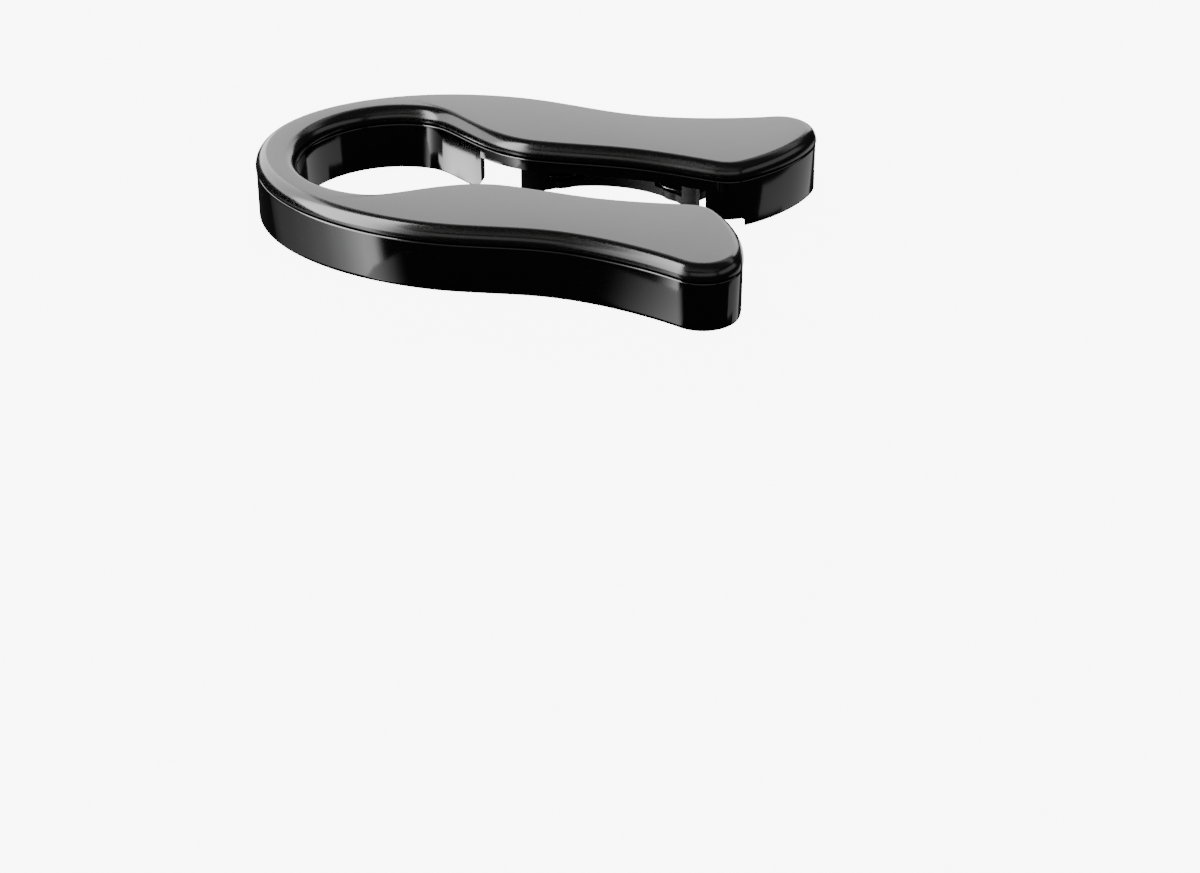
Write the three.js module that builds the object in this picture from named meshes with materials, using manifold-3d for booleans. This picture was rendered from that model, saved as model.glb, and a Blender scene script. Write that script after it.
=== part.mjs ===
// Hand-squeezed foil cutter for wine bottles.
//
// The body is a flat horseshoe: a springy round loop at -X, and two arms that run to the open tips at +X. It is
// made of a satin cover on top of a glossy housing, which is a channel that is open underneath. The bottle's neck
// comes up between the arms until its mouth meets the housing's web. Each arm carries two sharp steel wheels, which
// run on pins between a boss of the housing and a carrier. Squeezing the arms presses the four wheels into the
// foil, and a twist cuts it. The plastic loop is the only spring.
//
// Units are millimetres. +Z is up, +X points to the open tips, and +Y to the left arm. The origin is at the middle
// of the footprint, on the surface that the cutter lies on. Cover and housing are each one moulding: here they are
// split at the closed end of the loop, where a knuckle stands for the bending plastic.

import * as THREE from 'three';
import { mergeVertices } from 'three/addons/utils/BufferGeometryUtils.js';
import Module from 'manifold-3d';

const wasm = await Module();
wasm.setup();

// ---- driving dimensions ------------------------------------------------------------------------------------------

const HALF_LENGTH = 38.8;
const HEIGHT = 10.0;
const NECK_X = 11.0; // the neck's axis
const NECK_RADIUS = 14.75; // a capsuled wine bottle's neck

// heights of the layers
const COVER_BOTTOM = 7.7;
const HOUSING_TOP = 7.5;
const WEB_BOTTOM = 6.3;
const LIP_BOTTOM = 5.7; // the web's lip beside the neck

// plan of the body, left half
const LOOP_OUTER = { x: -6.1, rx: HALF_LENGTH - 6.1, ry: 24.5 };
const LOOP_INNER = { x: -19.0, rx: 13.7, ry: 15.0 };
const WAIST = { x: 11.6, y: 22.7 };
const TIP_ROUND = { x: 33.3, y: 22.2, r: 5.5 };
const TIP_HEEL = { x: 28.3, y: 11.5, r: 5.15 };
const SEAT_EDGE = { x: 14.4, y: 7.7 };
const THROAT = { x: 0.5, y: 6.8 };
const SHOULDER = { x: -12.9, y: 12.4 };
const NECK_CUTAWAY = { from: -8.6, to: 26.2 }; // where the inner wall is cut away for the neck
const LOOP_WALL_BOTTOM = 0.5; // the loop's inner wall stops short of the surface
const HEEL_RELIEF = { to: 31.7, z: 1.5 }; // and cut short beyond it

// shells
const EDGE_WIDTH = 1.7; // the cover's rounded edge, across
const EDGE_HEIGHT = 2.0; // and down
const WALL = 1.8;
const WALL_TAPER = 0.25;
const FOOT_ROUND = 0.6;

// wheels, pins and carriers
const WHEEL_RADIUS = 4.0;
const WHEEL_CLEARANCE = 0.45; // from the neck, with the arms at rest
const WHEEL_ANGLE = 60; // degrees round the neck from the cutter's long axis
const HUB_RADIUS = 1.9;
const HUB_BOTTOM = 1.8;
const HUB_TOP = 3.2;
const DISC_HALF = 0.4;
const BOSS_RADIUS = 1.8;
const BOSS_BOTTOM = 3.3;
const PIN_RADIUS = 0.9;
const PIN_BOTTOM = 0.7;
const PIN_TOP = 5.7;
const BORE_RADIUS = 1.0; // wheel bore and pin holes
const CARRIER_BOTTOM = 0.5;
const CARRIER_FLOOR = 1.7;
const CARRIER_TOP = 5.4;
const SADDLE_RADIUS = 15.9; // radii about the neck's axis
const SADDLE_WALL = 1.4;
const SADDLE_HALF = 13.2; // along X, from the neck's axis to either end
const CARRIER_OUTER = 20.5;
const CARRIER_LOBE = 3.6;
const SLOT_TOP = 3.5;
const SLOT_CLEARANCE = 0.5; // round the rim of a wheel
const CARRIER_SCREW_RADIUS = 18.9;
const CARRIER_SCREW_ANGLE = 8; // degrees either side of the arm's middle

// screws
const SHANK_RADIUS = 0.8;
const SCREW_HOLE = 0.9;
const SCREW_BOSS = 2.2;
const SCREW_TOP = 5.5;
const CSK_HEAD = 1.5;
const CSK_DEPTH = 0.8;
const PAN_HEAD = 1.9;
const PAN_HEIGHT = 1.1;
const TOWER_RADIUS = 2.6;
const TOWER_BOTTOM = 4.0;
const TOWER_FLOOR = 4.9;
const TOWER_RIB = { half: 0.5, reach: 6.5, bottom: 4.6 }; // the cross of ribs that braces a tower
const PEG_RADIUS = 1.6; // the cover's screw peg
const PEG_CLEARANCE = 0.2;
const PEG_BOTTOM = 5.2;
const COVER_SCREW_TOP = 7.2;
const COVER_SCREWS = [
  { name: 'loop', x: -12.0, y: 18.2 },
  { name: 'tip', x: 32.8, y: 19.6 },
];

// the bend at the closed end of the loop
const LOOP_END_INNER = LOOP_INNER.x - LOOP_INNER.rx;
const HINGE_X = (LOOP_END_INNER - HALF_LENGTH) / 2;
const KNUCKLE_RADIUS = 2.5;
const KNUCKLE_GAP = 0.3;
const BEND_GAP = 0.8; // room for the right half to turn beside the knuckle

const ROUND = 16; // sides of a small round piece
const FAR = 100; // beyond the body in any direction

// ---- plan outline ------------------------------------------------------------------------------------------------

const point = (x, y) => new THREE.Vector2(x, y);
const radians = THREE.MathUtils.degToRad;

// A point on a round, and the direction of travel there when going clockwise.
const onRound = (round, degrees) =>
  point(round.x + round.r * Math.cos(radians(degrees)), round.y + round.r * Math.sin(radians(degrees)));
const clockwise = (degrees) => point(Math.sin(radians(degrees)), -Math.cos(radians(degrees)));

// A smooth stretch between two points, leaving along one direction and arriving along another.
function sweep(from, leaving, leave, to, arriving, arrive, steps) {
  const curve = new THREE.CubicBezierCurve(
    from,
    from.clone().addScaledVector(leaving, leave),
    to.clone().addScaledVector(arriving, -arrive),
    to,
  );
  return curve.getPoints(steps).slice(0, -1);
}

function arc(cx, cy, rx, ry, fromDegrees, toDegrees, steps) {
  const curve = new THREE.EllipseCurve(cx, cy, rx, ry, radians(fromDegrees), radians(toDegrees), fromDegrees > toDegrees);
  return curve.getPoints(steps).slice(0, -1);
}

const EAST = point(1, 0);
const WEST = point(-1, 0);
const FLANK_ANGLE = 114; // where the tip's round takes over from the flank, seen from its centre
const TIP_END_ANGLE = -6;
const HEEL_START_ANGLE = -45;
const HEEL_END_ANGLE = -98;
const RISING = point(-0.82, 0.57); // the inner edge's direction at the shoulder

const outerLoopEnd = point(LOOP_OUTER.x, LOOP_OUTER.ry);
const innerLoopStart = point(LOOP_INNER.x, LOOP_INNER.ry);
const waist = point(WAIST.x, WAIST.y);
const seatEdge = point(SEAT_EDGE.x, SEAT_EDGE.y);
const throat = point(THROAT.x, THROAT.y);
const shoulder = point(SHOULDER.x, SHOULDER.y);

// The outer edge of the left half, from the closed end to the tip.
const outerHalf = [
  ...arc(LOOP_OUTER.x, 0, LOOP_OUTER.rx, LOOP_OUTER.ry, 180, 90, 14),
  ...sweep(outerLoopEnd, EAST, 6.2, waist, EAST, 6.0, 5),
  ...sweep(waist, EAST, 7.0, onRound(TIP_ROUND, FLANK_ANGLE), clockwise(FLANK_ANGLE), 5.0, 6),
  ...arc(TIP_ROUND.x, TIP_ROUND.y, TIP_ROUND.r, TIP_ROUND.r, FLANK_ANGLE, TIP_END_ANGLE, 8),
];
// The inner edge of the left half, from the tip back to the closed end.
const innerHalf = [
  ...sweep(onRound(TIP_ROUND, TIP_END_ANGLE), clockwise(TIP_END_ANGLE), 5.0,
    onRound(TIP_HEEL, HEEL_START_ANGLE), clockwise(HEEL_START_ANGLE), 5.0, 6),
  ...arc(TIP_HEEL.x, TIP_HEEL.y, TIP_HEEL.r, TIP_HEEL.r, HEEL_START_ANGLE, HEEL_END_ANGLE, 6),
  ...sweep(onRound(TIP_HEEL, HEEL_END_ANGLE), clockwise(HEEL_END_ANGLE), 4.5, seatEdge, WEST, 4.5, 4),
  ...sweep(seatEdge, WEST, 4.3, throat, WEST, 4.3, 5),
  ...sweep(throat, WEST, 5.5, shoulder, RISING, 5.0, 7),
  ...sweep(shoulder, RISING, 3.2, innerLoopStart, WEST, 2.4, 4),
  ...arc(LOOP_INNER.x, 0, LOOP_INNER.rx, LOOP_INNER.ry, 90, 180, 12),
  point(LOOP_END_INNER, 0),
];

const mirrored = (points) => points.map((p) => point(p.x, -p.y)).reverse();

// The whole horseshoe, clockwise from the closed end.
const leftOutline = [...outerHalf, ...innerHalf];
const outline = [...leftOutline, ...mirrored(leftOutline).slice(1, -1)];

// A closed outline moved into its own material by a distance.
function inset(points, distance) {
  return points.map((p, i) => {
    const before = points[(i + points.length - 1) % points.length];
    const after = points[(i + 1) % points.length];
    const along = after.clone().sub(before).normalize();
    return point(p.x + along.y * distance, p.y - along.x * distance);
  });
}

// The space between the arms and inside the loop, with the inner walls up to a depth.
function mouth(depth) {
  const inner = inset(outline, depth).slice(outerHalf.length, leftOutline.length);
  return [...inner, ...mirrored(inner).slice(1)];
}

// ---- solids ------------------------------------------------------------------------------------------------------

// A solid from a stack of outlines with the same number of points, each at its own height, lowest first.
function stack(levels) {
  if (THREE.ShapeUtils.area(levels[0].points) > 0) {
    return stack(levels.map(({ points, z }) => ({ points: points.slice().reverse(), z })));
  }
  const count = levels[0].points.length;
  const positions = [];
  for (const { points, z } of levels) {
    for (const p of points) positions.push(p.x, p.y, z);
  }
  const indices = [];
  for (let level = 0; level + 1 < levels.length; level += 1) {
    for (let i = 0; i < count; i += 1) {
      const a = level * count + i;
      const b = level * count + ((i + 1) % count);
      indices.push(a, a + count, b, b, a + count, b + count);
    }
  }
  const lid = (base, points, up) => {
    for (const [a, b, c] of THREE.ShapeUtils.triangulateShape(points, [])) {
      const isUp = THREE.ShapeUtils.area([points[a], points[b], points[c]]) > 0;
      indices.push(base + a, base + (isUp === up ? b : c), base + (isUp === up ? c : b));
    }
  };
  lid(0, levels[0].points, false);
  lid((levels.length - 1) * count, levels.at(-1).points, true);
  const geometry = new THREE.BufferGeometry();
  geometry.setAttribute('position', new THREE.Float32BufferAttribute(positions, 3));
  geometry.setIndex(indices);
  return solid(geometry);
}

// A closed geometry as a solid for cutting and joining.
function solid(geometry) {
  const bare = new THREE.BufferGeometry();
  bare.setAttribute('position', geometry.getAttribute('position'));
  bare.setIndex(geometry.getIndex());
  const merged = mergeVertices(bare, 1e-4);
  return new wasm.Manifold(
    new wasm.Mesh({
      numProp: 3,
      vertProperties: merged.attributes.position.array,
      triVerts: new Uint32Array(merged.index.array),
    }),
  );
}

const slab = (points, low, high) => stack([{ points, z: low }, { points, z: high }]);

// An upright round, such as a boss or a hole.
function drum(x, y, radius, low, high, sides = ROUND) {
  const geometry = new THREE.CylinderGeometry(radius, radius, high - low, sides);
  geometry.rotateX(Math.PI / 2);
  geometry.translate(x, y, (low + high) / 2);
  return solid(geometry);
}

// A turned piece about an upright axis. The profile's points are [radius, height], going up.
function turned(x, y, profile, sides = ROUND) {
  const geometry = new THREE.LatheGeometry(profile.map(([r, z]) => point(r, z)), sides);
  geometry.rotateX(Math.PI / 2);
  geometry.translate(x, y, 0);
  return solid(geometry);
}

function block(x0, x1, y0, y1, z0, z1) {
  const geometry = new THREE.BoxGeometry(x1 - x0, y1 - y0, z1 - z0);
  geometry.translate((x0 + x1) / 2, (y0 + y1) / 2, (z0 + z1) / 2);
  return solid(geometry);
}

// ---- the bend: a whole horseshoe becomes a left and a right half --------------------------------------------------

const knuckle = (radius) => drum(HINGE_X, 0, radius, -FAR, FAR, 2 * ROUND);

// The half of a horseshoe on one side. The right half carries the knuckle, and the left half is hollowed for it.
function half(whole, side) {
  if (side > 0) return whole.intersect(block(-FAR, FAR, BEND_GAP, FAR, -FAR, FAR)).subtract(knuckle(KNUCKLE_RADIUS + KNUCKLE_GAP));
  const arm = whole.intersect(block(-FAR, FAR, -FAR, 0, -FAR, FAR));
  return arm;
}

// ---- materials ---------------------------------------------------------------------------------------------------

const plastic = (color, roughness) => new THREE.MeshStandardMaterial({ color, roughness, metalness: 0 });
const steel = (color, roughness) => new THREE.MeshStandardMaterial({ color, roughness, metalness: 1 });
const SATIN_BLACK = plastic(0x2b2a29, 0.45);
const GLOSS_BLACK = plastic(0x0b0b0b, 0.12);
const MATTE_BLACK = plastic(0x161616, 0.5);
const WHEEL_STEEL = steel(0xb8babd, 0.25);
const PIN_STEEL = steel(0xa6a8ab, 0.35);
const SCREW_STEEL = steel(0x8c8e91, 0.35);

const cutter = new THREE.Group();

function add(name, shape, material) {
  const { vertProperties, triVerts } = shape.getMesh();
  const geometry = new THREE.BufferGeometry();
  geometry.setAttribute('position', new THREE.BufferAttribute(new Float32Array(vertProperties), 3));
  geometry.setIndex(new THREE.BufferAttribute(new Uint32Array(triVerts), 1));
  geometry.computeVertexNormals();
  const mesh = new THREE.Mesh(geometry, material);
  mesh.name = name;
  cutter.add(mesh);
}

const SIDES = [
  { name: 'left', sign: 1 },
  { name: 'right', sign: -1 },
];

// ---- places of the small pieces ----------------------------------------------------------------------------------

const SADDLE_OUTER = SADDLE_RADIUS + SADDLE_WALL;
const wheelReach = NECK_RADIUS + WHEEL_CLEARANCE + WHEEL_RADIUS;
const wheelOut = wheelReach * Math.sin(radians(WHEEL_ANGLE));
const wheelAlong = wheelReach * Math.cos(radians(WHEEL_ANGLE));
const WHEELS = [
  { name: 'loop', x: NECK_X - wheelAlong, y: wheelOut },
  { name: 'tip', x: NECK_X + wheelAlong, y: wheelOut },
];
const CARRIER_SCREWS = [
  { name: 'loop', turn: CARRIER_SCREW_ANGLE },
  { name: 'tip', turn: -CARRIER_SCREW_ANGLE },
].map(({ name, turn }) => ({
  name,
  x: NECK_X + CARRIER_SCREW_RADIUS * Math.cos(radians(90 + turn)),
  y: CARRIER_SCREW_RADIUS * Math.sin(radians(90 + turn)),
}));

// ---- cover: a solid plate with a rounded top edge, a locating land below and two screw pegs in each arm ------------

function coverWhole() {
  const LAND_INSET = 2.3;
  const LIP_HEIGHT = HEIGHT - EDGE_HEIGHT;
  const edge = [22, 45, 68, 90].map((degrees) => ({
    points: inset(outline, EDGE_WIDTH * (1 - Math.cos(radians(degrees)))),
    z: LIP_HEIGHT + EDGE_HEIGHT * Math.sin(radians(degrees)),
  }));
  return stack([
    { points: inset(outline, LAND_INSET), z: HOUSING_TOP },
    { points: inset(outline, LAND_INSET), z: COVER_BOTTOM },
    { points: inset(outline, 0.05), z: COVER_BOTTOM },
    { points: outline, z: LIP_HEIGHT },
    ...edge,
  ]);
}

function coverHalf(sign) {
  let shape = half(coverWhole(), sign);
  if (sign < 0) shape = shape.add(coverWhole().intersect(knuckle(KNUCKLE_RADIUS)));
  for (const { x, y } of COVER_SCREWS) {
    shape = shape
      .add(drum(x, sign * y, PEG_RADIUS, PEG_BOTTOM, HOUSING_TOP + 0.1))
      .subtract(drum(x, sign * y, SHANK_RADIUS + PEG_CLEARANCE, PEG_BOTTOM - 1, COVER_SCREW_TOP + 0.2));
  }
  return shape;
}

// ---- housing: a channel that is open underneath, with the inner walls cut away round the neck ----------------------

function housingBlock() {
  return stack([
    { points: inset(outline, WALL_TAPER + FOOT_ROUND), z: 0 },
    { points: inset(outline, WALL_TAPER + 0.3 * FOOT_ROUND), z: 0.3 * FOOT_ROUND },
    { points: inset(outline, WALL_TAPER), z: FOOT_ROUND },
    { points: inset(outline, 0.1), z: HOUSING_TOP },
  ]);
}

// The cutaway that lets the neck and the wheels meet, seen from the side. It leaves the loop's wall a rounded corner,
// and the tip's wall cut short as far as the heel.
function neckCutaway() {
  const CORNER = 1.7;
  const REACH = 20; // across, past both inner walls
  const { from, to } = NECK_CUTAWAY;
  const side = new THREE.Shape();
  side.moveTo(from, LIP_BOTTOM);
  side.lineTo(from, LOOP_WALL_BOTTOM + CORNER);
  side.absarc(from - CORNER, LOOP_WALL_BOTTOM + CORNER, CORNER, 0, -Math.PI / 2, true);
  side.lineTo(-HALF_LENGTH, LOOP_WALL_BOTTOM);
  side.lineTo(-HALF_LENGTH, -1);
  side.lineTo(HEEL_RELIEF.to, -1);
  side.lineTo(HEEL_RELIEF.to, HEEL_RELIEF.z);
  side.lineTo(to, HEEL_RELIEF.z);
  side.lineTo(to, LIP_BOTTOM);
  const geometry = new THREE.ExtrudeGeometry(side, { depth: 2 * REACH, bevelEnabled: false, curveSegments: 4 });
  geometry.rotateX(Math.PI / 2);
  geometry.translate(0, REACH, 0);
  geometry.deleteAttribute('normal');
  geometry.deleteAttribute('uv');
  return solid(mergeVertices(geometry, 1e-4)).intersect(slab(mouth(WALL + 0.3), -2, LIP_BOTTOM));
}

function towerRibs(x, y) {
  const { half, reach, bottom } = TOWER_RIB;
  return block(x - reach, x + reach, y - half, y + half, bottom, WEB_BOTTOM + 0.1)
    .add(block(x - half, x + half, y - reach, y + reach, bottom, WEB_BOTTOM + 0.1))
    .intersect(slab(inset(outline, WALL - 0.2), -1, HEIGHT));
}

function housingHalf(sign) {
  const channel = slab(inset(outline, WALL), -1, WEB_BOTTOM);
  let shape = half(
    housingBlock()
      .subtract(channel)
      .subtract(neckCutaway()),
    sign,
  );
  if (sign < 0) shape = shape.add(housingBlock().intersect(knuckle(KNUCKLE_RADIUS)).subtract(neckCutaway()));
  for (const { x, y } of WHEELS) {
    shape = shape
      .add(drum(x, sign * y, BOSS_RADIUS, BOSS_BOTTOM, WEB_BOTTOM + 0.1))
      .subtract(drum(x, sign * y, BORE_RADIUS, BOSS_BOTTOM - 1, PIN_TOP + 0.2));
  }
  const saddleRoom = drum(NECK_X, 0, SADDLE_OUTER + 0.2, -1, CARRIER_TOP + 0.2, 4 * ROUND);
  for (const { x, y } of CARRIER_SCREWS) {
    shape = shape
      .add(drum(x, sign * y, SCREW_BOSS, CARRIER_FLOOR + 0.1, WEB_BOTTOM + 0.1).subtract(saddleRoom))
      .subtract(drum(x, sign * y, SCREW_HOLE, CARRIER_FLOOR - 1, SCREW_TOP + 0.2));
  }
  for (const { x, y } of COVER_SCREWS) {
    shape = shape
      .add(drum(x, sign * y, TOWER_RADIUS, TOWER_BOTTOM, WEB_BOTTOM + 0.1))
      .add(towerRibs(x, sign * y))
      .subtract(drum(x, sign * y, PEG_RADIUS + PEG_CLEARANCE, TOWER_FLOOR, HOUSING_TOP + 1))
      .subtract(drum(x, sign * y, SHANK_RADIUS + PEG_CLEARANCE, TOWER_BOTTOM - 1, TOWER_FLOOR + 0.1));
  }
  return shape;
}

// ---- carrier: a saddle wall round the neck with a slot for each wheel, on a floor that holds the pins ---------------

// A band round the neck on the left side, between two radii.
function band(inner, outer, low, high, fromDegrees, toDegrees) {
  const steps = 18;
  return slab([
    ...arc(NECK_X, 0, outer, outer, fromDegrees, toDegrees, steps),
    point(NECK_X + outer * Math.cos(radians(toDegrees)), outer * Math.sin(radians(toDegrees))),
    ...arc(NECK_X, 0, inner, inner, toDegrees, fromDegrees, steps),
    point(NECK_X + inner * Math.cos(radians(fromDegrees)), inner * Math.sin(radians(fromDegrees))),
  ], low, high);
}

function carrierLeft() {
  const FLOOR_END = 50; // degrees from the long axis
  const WALL_END = 25; // before its ends are cut square
  let shape = band(SADDLE_RADIUS, CARRIER_OUTER, CARRIER_BOTTOM, CARRIER_FLOOR, FLOOR_END, 180 - FLOOR_END);
  for (const { x, y } of WHEELS) {
    shape = shape.add(drum(x, y, CARRIER_LOBE, CARRIER_BOTTOM, CARRIER_FLOOR, 2 * ROUND));
  }
  shape = shape.add(
    band(SADDLE_RADIUS, SADDLE_OUTER, CARRIER_BOTTOM, CARRIER_TOP, WALL_END, 180 - WALL_END)
      .intersect(block(NECK_X - SADDLE_HALF, NECK_X + SADDLE_HALF, 0, FAR, -FAR, FAR)),
  );
  for (const { x, y } of WHEELS) {
    shape = shape
      .subtract(drum(x, y, WHEEL_RADIUS + SLOT_CLEARANCE, CARRIER_FLOOR, SLOT_TOP, 2 * ROUND))
      .subtract(drum(x, y, BORE_RADIUS, -1, CARRIER_FLOOR + 1));
  }
  for (const { x, y } of CARRIER_SCREWS) {
    const low = CARRIER_BOTTOM - 0.1;
    shape = shape
      .subtract(drum(x, y, SCREW_HOLE, low, CARRIER_FLOOR + 1))
      .subtract(turned(x, y, [
        [0, low], [CSK_HEAD + 0.2, low], [SCREW_HOLE, CARRIER_BOTTOM + CSK_DEPTH], [0, CARRIER_BOTTOM + CSK_DEPTH],
      ]));
  }
  return shape;
}

// ---- turned steel pieces -------------------------------------------------------------------------------------------

function wheelShape(x, y) {
  const middle = (HUB_BOTTOM + HUB_TOP) / 2;
  const BEVEL_START = WHEEL_RADIUS - 1.3;
  const SHARP = 0.04; // half the cutting edge's thickness
  return turned(x, y, [
    [BORE_RADIUS, HUB_BOTTOM],
    [HUB_RADIUS, HUB_BOTTOM],
    [HUB_RADIUS, middle - DISC_HALF],
    [BEVEL_START, middle - DISC_HALF],
    [WHEEL_RADIUS, middle - SHARP],
    [WHEEL_RADIUS, middle + SHARP],
    [BEVEL_START, middle + DISC_HALF],
    [HUB_RADIUS, middle + DISC_HALF],
    [HUB_RADIUS, HUB_TOP],
    [BORE_RADIUS, HUB_TOP],
    [BORE_RADIUS, HUB_BOTTOM],
  ], 24);
}

function pinShape(x, y) {
  const CHAMFER = 0.2;
  return turned(x, y, [
    [0, PIN_BOTTOM],
    [PIN_RADIUS - CHAMFER, PIN_BOTTOM],
    [PIN_RADIUS, PIN_BOTTOM + CHAMFER],
    [PIN_RADIUS, PIN_TOP - CHAMFER],
    [PIN_RADIUS - CHAMFER, PIN_TOP],
    [0, PIN_TOP],
  ]);
}

// A cross recess, cut up into a screw's head.
function crossRecess(x, y, low, depth) {
  const ARM = 0.85;
  const BLADE = 0.22;
  return block(x - ARM, x + ARM, y - BLADE, y + BLADE, low - 1, low + depth)
    .add(block(x - BLADE, x + BLADE, y - ARM, y + ARM, low - 1, low + depth));
}

function carrierScrewShape(x, y) {
  const head = CARRIER_BOTTOM;
  return turned(x, y, [
    [0, head],
    [CSK_HEAD, head],
    [SHANK_RADIUS, head + CSK_DEPTH],
    [SHANK_RADIUS, SCREW_TOP - 0.6],
    [0.3, SCREW_TOP],
    [0, SCREW_TOP],
  ]).subtract(crossRecess(x, y, head, 0.5));
}

function coverScrewShape(x, y) {
  const head = TOWER_BOTTOM - PAN_HEIGHT;
  return turned(x, y, [
    [0, head],
    [0.6 * PAN_HEAD, head],
    [0.9 * PAN_HEAD, head + 0.3],
    [PAN_HEAD, TOWER_BOTTOM - 0.3],
    [PAN_HEAD, TOWER_BOTTOM],
    [SHANK_RADIUS, TOWER_BOTTOM],
    [SHANK_RADIUS, COVER_SCREW_TOP - 0.6],
    [0.3, COVER_SCREW_TOP],
    [0, COVER_SCREW_TOP],
  ]).subtract(crossRecess(x, y, head, 0.6));
}

// ---- assembly ----------------------------------------------------------------------------------------------------

for (const { name, sign } of SIDES) {
  add(`top_cover_${name}`, coverHalf(sign), SATIN_BLACK);
  add(`housing_${name}`, housingHalf(sign), GLOSS_BLACK);
  const carrier = carrierLeft();
  add(`wheel_carrier_${name}`, sign > 0 ? carrier : carrier.mirror([0, 1, 0]), MATTE_BLACK);
  for (const wheel of WHEELS) {
    add(`cutter_wheel_${name}_${wheel.name}`, wheelShape(wheel.x, sign * wheel.y), WHEEL_STEEL);
    add(`wheel_pin_${name}_${wheel.name}`, pinShape(wheel.x, sign * wheel.y), PIN_STEEL);
  }
  for (const screw of CARRIER_SCREWS) {
    add(`carrier_screw_${name}_${screw.name}`, carrierScrewShape(screw.x, sign * screw.y), SCREW_STEEL);
  }
  for (const screw of COVER_SCREWS) {
    add(`cover_screw_${name}_${screw.name}`, coverScrewShape(screw.x, sign * screw.y), SCREW_STEEL);
  }
}

export default cutter;
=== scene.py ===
import bmesh, bpy, math
from mathutils import Matrix, Vector


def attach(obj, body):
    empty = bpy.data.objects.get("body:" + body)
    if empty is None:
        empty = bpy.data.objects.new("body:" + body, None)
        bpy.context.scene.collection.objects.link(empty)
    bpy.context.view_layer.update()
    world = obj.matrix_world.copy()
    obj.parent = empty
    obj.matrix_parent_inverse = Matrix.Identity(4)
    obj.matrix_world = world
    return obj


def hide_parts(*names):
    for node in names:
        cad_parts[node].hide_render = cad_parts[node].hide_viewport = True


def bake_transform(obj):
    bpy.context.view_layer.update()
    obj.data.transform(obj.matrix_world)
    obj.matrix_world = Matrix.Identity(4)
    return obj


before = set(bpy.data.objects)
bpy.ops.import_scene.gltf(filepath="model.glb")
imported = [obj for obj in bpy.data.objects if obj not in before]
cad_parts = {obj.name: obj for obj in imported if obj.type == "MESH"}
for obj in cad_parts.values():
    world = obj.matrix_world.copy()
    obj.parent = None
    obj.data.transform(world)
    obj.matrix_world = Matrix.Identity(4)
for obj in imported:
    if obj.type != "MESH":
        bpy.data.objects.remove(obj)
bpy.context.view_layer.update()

# ---- The housing ----------------------------------------------------------------------------------
# One U-shaped moulding in polished black ABS: a channel that is open underneath, with a short inner
# wall round the loop and at each tip. It is injection moulded, so its walls lean a little and every
# edge is eased. The round loop is thin enough to bend, and is the tool's only spring.
MM = 0.001
HALF_LENGTH = 38.8
LOOP_OUTER = dict(x=-6.1, rx=HALF_LENGTH - 6.1, ry=24.5)
LOOP_INNER = dict(x=-19.0, rx=13.7, ry=15.0)
WAIST = Vector((11.6, 22.7))
TIP_ROUND = dict(x=33.3, y=22.2, r=5.5)
TIP_HEEL = dict(x=28.3, y=11.5, r=5.15)
SEAT_EDGE = Vector((14.4, 7.7))
THROAT = Vector((0.5, 6.8))
SHOULDER = Vector((-12.9, 12.4))
EAST, WEST, RISING = Vector((1, 0)), Vector((-1, 0)), Vector((-0.82, 0.57))
NECK_X = 11.0
HEIGHT, HOUSING_TOP, WEB_BOTTOM, LIP_BOTTOM = 10.0, 7.5, 6.3, 5.7
WALL, WALL_TAPER = 1.8, 0.25
FOOT_ROUND, TOP_ROUND = 0.7, 0.25
STEPS = 240  # along each edge of one arm
LAP = 0.2  # how far a joined or cutting shape runs past the face it meets


def arc(x, y, rx, ry, start, end, steps=90):
    turns = [math.radians(start + (end - start) * i / steps) for i in range(steps + 1)]
    return [Vector((x + rx * math.cos(t), y + ry * math.sin(t))) for t in turns]


def sweep(start, leaving, leave, end, arriving, arrive, steps=60):
    """A smooth stretch that leaves one point and reaches another along given directions."""
    handles = (start, start + leaving * leave, end - arriving * arrive, end)
    curve = []
    for i in range(steps + 1):
        t = i / steps
        weights = ((1 - t) ** 3, 3 * t * (1 - t) ** 2, 3 * t * t * (1 - t), t ** 3)
        curve.append(sum((h * w for h, w in zip(handles, weights)), Vector((0, 0))))
    return curve


def on_round(part, degrees):
    """A point on a round corner, and the clockwise direction of travel there."""
    t = math.radians(degrees)
    place = Vector((part["x"] + part["r"] * math.cos(t), part["y"] + part["r"] * math.sin(t)))
    return place, Vector((math.sin(t), -math.cos(t)))


def evenly(curve, count):
    """The same curve with evenly spaced points."""
    reach = [0.0]
    for a, b in zip(curve, curve[1:]):
        reach.append(reach[-1] + (b - a).length)
    points, k = [], 0
    for i in range(count + 1):
        goal = reach[-1] * i / count
        while k < len(curve) - 2 and reach[k + 1] < goal:
            k += 1
        span = reach[k + 1] - reach[k]
        points.append(curve[k].lerp(curve[k + 1], 0 if span == 0 else (goal - reach[k]) / span))
    return points


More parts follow.
